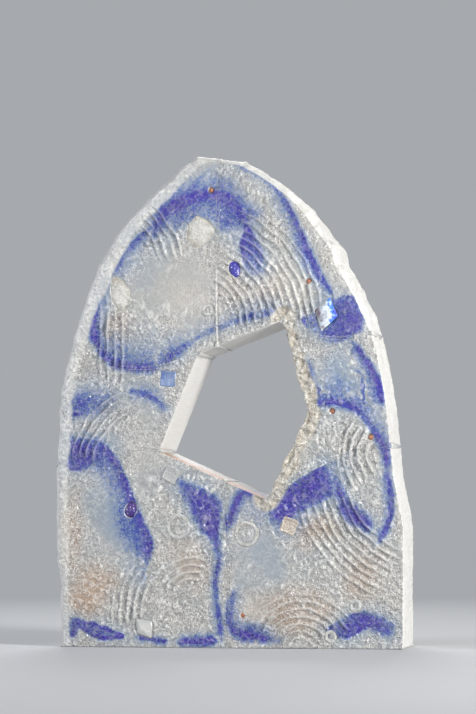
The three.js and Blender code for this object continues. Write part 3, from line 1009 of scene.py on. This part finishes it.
def front_face(bm):
    """The largest face that looks to the front."""
    bm.normal_update()
    return max((face for face in bm.faces if face.normal.y < -0.9), key=lambda face: face.calc_area())


def roughen(bm, size, depth, seed):
    """Moves every vertex along its normal by noise with lumps of this size, in millimetres."""
    bm.normal_update()
    places = np.array([vertex.co for vertex in bm.verts]) / MM
    for vertex, lift in zip(bm.verts, noise(places, size, seed)):
        vertex.co += vertex.normal * float(lift) * depth * MM


def soften(bm, width, segments):
    """Bevels every edge by this width, in millimetres."""
    bmesh.ops.bevel(
        bm, geom=bm.edges[:], offset=width * MM, segments=segments, profile=0.5, affect="EDGES", material=-1,
    )


# %% [markdown]
# ### Tiles
# A tile was cut from sheet glass, and the kiln softened its edges. A bevel gives the rounding, and an
# inset pushed back a little leaves the raised border that catches the light.

# %% Tiles
def make_tile(node):
    """A square of sheet glass with soft edges and a slightly sunk middle."""
    bm = set_piece(node)
    soften(bm, width=0.8, segments=3)
    bmesh.ops.inset_region(bm, faces=[front_face(bm)], thickness=1.2 * MM, depth=-0.45 * MM)
    bmesh.ops.subdivide_edges(bm, edges=bm.edges[:], cuts=2, use_grid_fill=True)
    roughen(bm, size=3, depth=0.12, seed=51)
    return bm


# %% [markdown]
# ### Splinters and opals
# A splinter broke from a larger lump, so its front has flat facets that meet off the middle. Poking the
# front face makes them, and a fine bevel breaks the sharp edges. An opal's border sinks under the skin of
# the block, its middle is raised, and then it is roughened until it looks like a lump of sugar.

# %% Splinters and opals
SINK = 1.3
OPAL_SEAL = 1.3


def make_splinter(node):
    """A broken splinter with flat facets that meet off its middle."""
    bm = set_piece(node)
    poked = bmesh.ops.poke(bm, faces=[front_face(bm)], offset=1.3 * MM)
    poked["verts"][0].co.x -= 1.6 * MM
    soften(bm, width=0.35, segments=2)
    return bm


def make_opal(node):
    """A cream lump with a raised, sugary front."""
    bm = set_piece(node, OPAL_SEAL)
    bmesh.ops.translate(bm, verts=front_face(bm).verts, vec=(0, SINK * MM, 0))
    bmesh.ops.inset_region(bm, faces=[front_face(bm)], thickness=2.4 * MM, depth=1.0 * MM)
    bmesh.ops.poke(bm, faces=[front_face(bm)], offset=0.5 * MM)
    bmesh.ops.subdivide_edges(bm, edges=bm.edges[:], cuts=5, use_grid_fill=True, smooth=0.3)
    bmesh.ops.triangulate(bm, faces=bm.faces)
    roughen(bm, size=4, depth=0.5, seed=61)
    roughen(bm, size=1.7, depth=0.35, seed=62)
    return bm


def creamy(mesh):
    """How pale an opal or a chip is at each vertex, fading out from its middle."""
    places, _ = read_vertices(mesh)
    flat = places[:, XZ]
    middle = (flat.min(0) + flat.max(0)) / 2
    share = np.linalg.norm((flat - middle) / (flat.max(0) - middle), axis=1)
    return 0.7 * ramp(share + 0.3 * noise(places, 3, 63), 1.0, 0.35)


# %% [markdown]
# ### Nuggets and frit
# Nuggets are drops of glass that set round, and frit is glass crushed to grains. Subdividing with a smooth
# setting rounds a nugget, a bevel blunts a grain, and noise makes each one its own. A grain also sinks
# most of the way into the skin.

# %% Nuggets and frit
GRAIN_SINK = 0.7


def make_nugget(node):
    """A drop of coloured glass with a dimpled skin."""
    bm = set_piece(node)
    bmesh.ops.triangulate(bm, faces=bm.faces)
    bmesh.ops.subdivide_edges(bm, edges=bm.edges[:], cuts=2, use_grid_fill=True, smooth=0.5)
    roughen(bm, size=5, depth=1.0, seed=71)
    roughen(bm, size=2, depth=0.35, seed=72)
    return bm


def make_fleck(node):
    """A crushed grain with blunt corners."""
    bm = set_piece(node, 0)
    bmesh.ops.translate(bm, verts=bm.verts, vec=(0, GRAIN_SINK * MM, 0))
    soften(bm, width=0.3, segments=2)
    roughen(bm, size=1.4, depth=0.5, seed=81)
    return bm


# %% [markdown]
# ### Rings
# A slice of glass tube shows as a raised ring: a profile with a rounded lip, spun once round its axis. The
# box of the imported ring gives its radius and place.

# %% Rings
RING_WIDTH = 2.0
LIP_DROP = 0.15
LIP_RISE = 1.1
LIP_STEPS = 8
RING_STEPS = 72


def make_ring(node):
    """A slice of tube with a rounded lip, spun about its axis."""
    low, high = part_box(node)
    middle = (low + high) / 2
    outside = (high.x - low.x) / 2 / MM + SEAL
    inside = outside - RING_WIDTH - 2 * SEAL
    half = (outside - inside) / 2
    lip = low.y / MM + LIP_DROP
    points = [(inside, high.y / MM)]
    for step in range(LIP_STEPS + 1):
        turn = math.pi * step / LIP_STEPS
        points.append((inside + half * (1 - math.cos(turn)), lip + LIP_RISE * (1 - math.sin(turn))))
    points.append((outside, high.y / MM))
    profile = [(middle.x + across * MM, depth * MM, middle.z) for across, depth in points]
    bm = spun(profile, True, (0, 1, 0), middle, RING_STEPS, MERGE)
    roughen(bm, size=4, depth=0.3, seed=91)
    roughen(bm, size=1.8, depth=0.12, seed=92)
    return bm


# %% [markdown]
# ## Glass of the set pieces
# Most of the finds follow the recipe of the blocks in tones of their own. The blue tile and the frit are
# plainer: two tones in a soft cloud, and a glossy skin with a fine ripple. The iridescent splinter lies
# under a thin film, as on glass fumed with metal salts. Across its width it runs from a painted shadow on
# its left through a painted highlight in the middle to azure on its right.

# %% Plain glass
TONE_SIZE = 4 * MM


def set_glass(name, light, deep, roughness, clear, bleed):
    """Glass in two tones, as rough and clear as given. Light bleeds this far inside it."""
    material, tree, place = new_material(name)
    tone = spread(tree, lumps(tree, place, TONE_SIZE, 3.0), 0.35, 0.65)
    ripple = lumps(tree, place, GRIT_SIZE)
    skin = bumped(tree, ripple, 0.6, 0.6)
    glass(tree, {
        "Base Color": blend(tree, tone, deep, light), "Roughness": roughness, "Normal": skin,
        "Transmission Weight": clear, "Subsurface Weight": 0.3, "Subsurface Scale": bleed * MM,
    })
    return material


# %% Iridescent glass
FILM_SIZE = 3 * MM
# A painted shadow on the left, a painted highlight in the middle, and the splinter's own azure on the right.
SHADOW_HIGHLIGHT_AZURE_STOPS = {0.1: "#6d6876", 0.38: "#bfcdd8", 0.55: "#e4f2f7", 0.75: "#4b8fe6", 0.95: "#2b45c4"}


def iridescent_glass():
    """Fumed glass under a thin film: painted shadow, painted highlight, then azure across its width."""
    material, tree, place = new_material("fumed_iridescent_glass")
    across = add(tree, "SeparateXYZ", {}, {"Vector": place}).outputs["X"]
    low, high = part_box("iridescent_shard")
    ripple = lumps(tree, place, FILM_SIZE)
    stray = spread(tree, ripple, 0.3, 0.7, -0.2, 0.2)
    share = maths(tree, "ADD", spread(tree, across, low.x, high.x), stray)
    skin = bumped(tree, ripple, 0.4, 0.5)
    glass(tree, {
        "Base Color": colour_run(tree, share, SHADOW_HIGHLIGHT_AZURE_STOPS), "Roughness": 0.1, "Normal": skin,
        "Thin Film Thickness": 420.0, "Thin Film IOR": 1.8,
    })
    return material


# %% Glass for each slot
SLOT_GLASS = {
    "cobalt_glass": set_glass(
        "cobalt_sheet_glass", "#9fb0cf", "#5f74ac", roughness=0.12, clear=0.15, bleed=2,
    ),
    "violet_glass": cast_glass("violet_drop_glass", "#2d2596", "#4a4cd2"),
    "ruby_glass": cast_glass("ruby_drop_glass", "#35208c", "#5c3a96"),
    "iridescent_glass": iridescent_glass(),
    "clear_glass": cast_glass("clear_cast_glass", "#bec1c1", "#d8d8d5"),
    "sand_glass": cast_glass("sand_cast_glass", "#cdc0b3", "#ddd2c6"),
    "opal_glass": cast_glass("cream_opal_glass", "#bdbab0", "#d0ccc0"),
    "copper_glass": set_glass("copper_frit_glass", "#cf9472", "#b0705a", roughness=0.25, clear=0.1, bleed=1),
}
print("glasses:", [material.name for material in SLOT_GLASS.values()])

# %% Make the set pieces
MAKERS = {
    "tile": make_tile, "shard": make_splinter, "chip": make_splinter, "opal": make_opal,
    "nugget": make_nugget, "fleck": make_fleck, "ring": make_ring,
}
USUAL_CALM = 0.3
CALM_KINDS = {"opal": 0.2, "chip": 0.9}
for node in sorted(set(nodes) - set(BLOCKS) - set(VEILS)):
    kind = node.split("_")[-1]
    mesh = to_mesh(MAKERS[kind](node), node + "_glass")
    write_attribute(mesh, "calm", np.full(len(mesh.vertices), CALM_KINDS.get(kind, USUAL_CALM)))
    if kind in ("opal", "chip"):
        write_attribute(mesh, "frost_and_painted_light", creamy(mesh))
    finish_piece(mesh, node, SLOT_GLASS[SLOTS[node]])
    print(mesh.name, len(mesh.polygons), "faces")
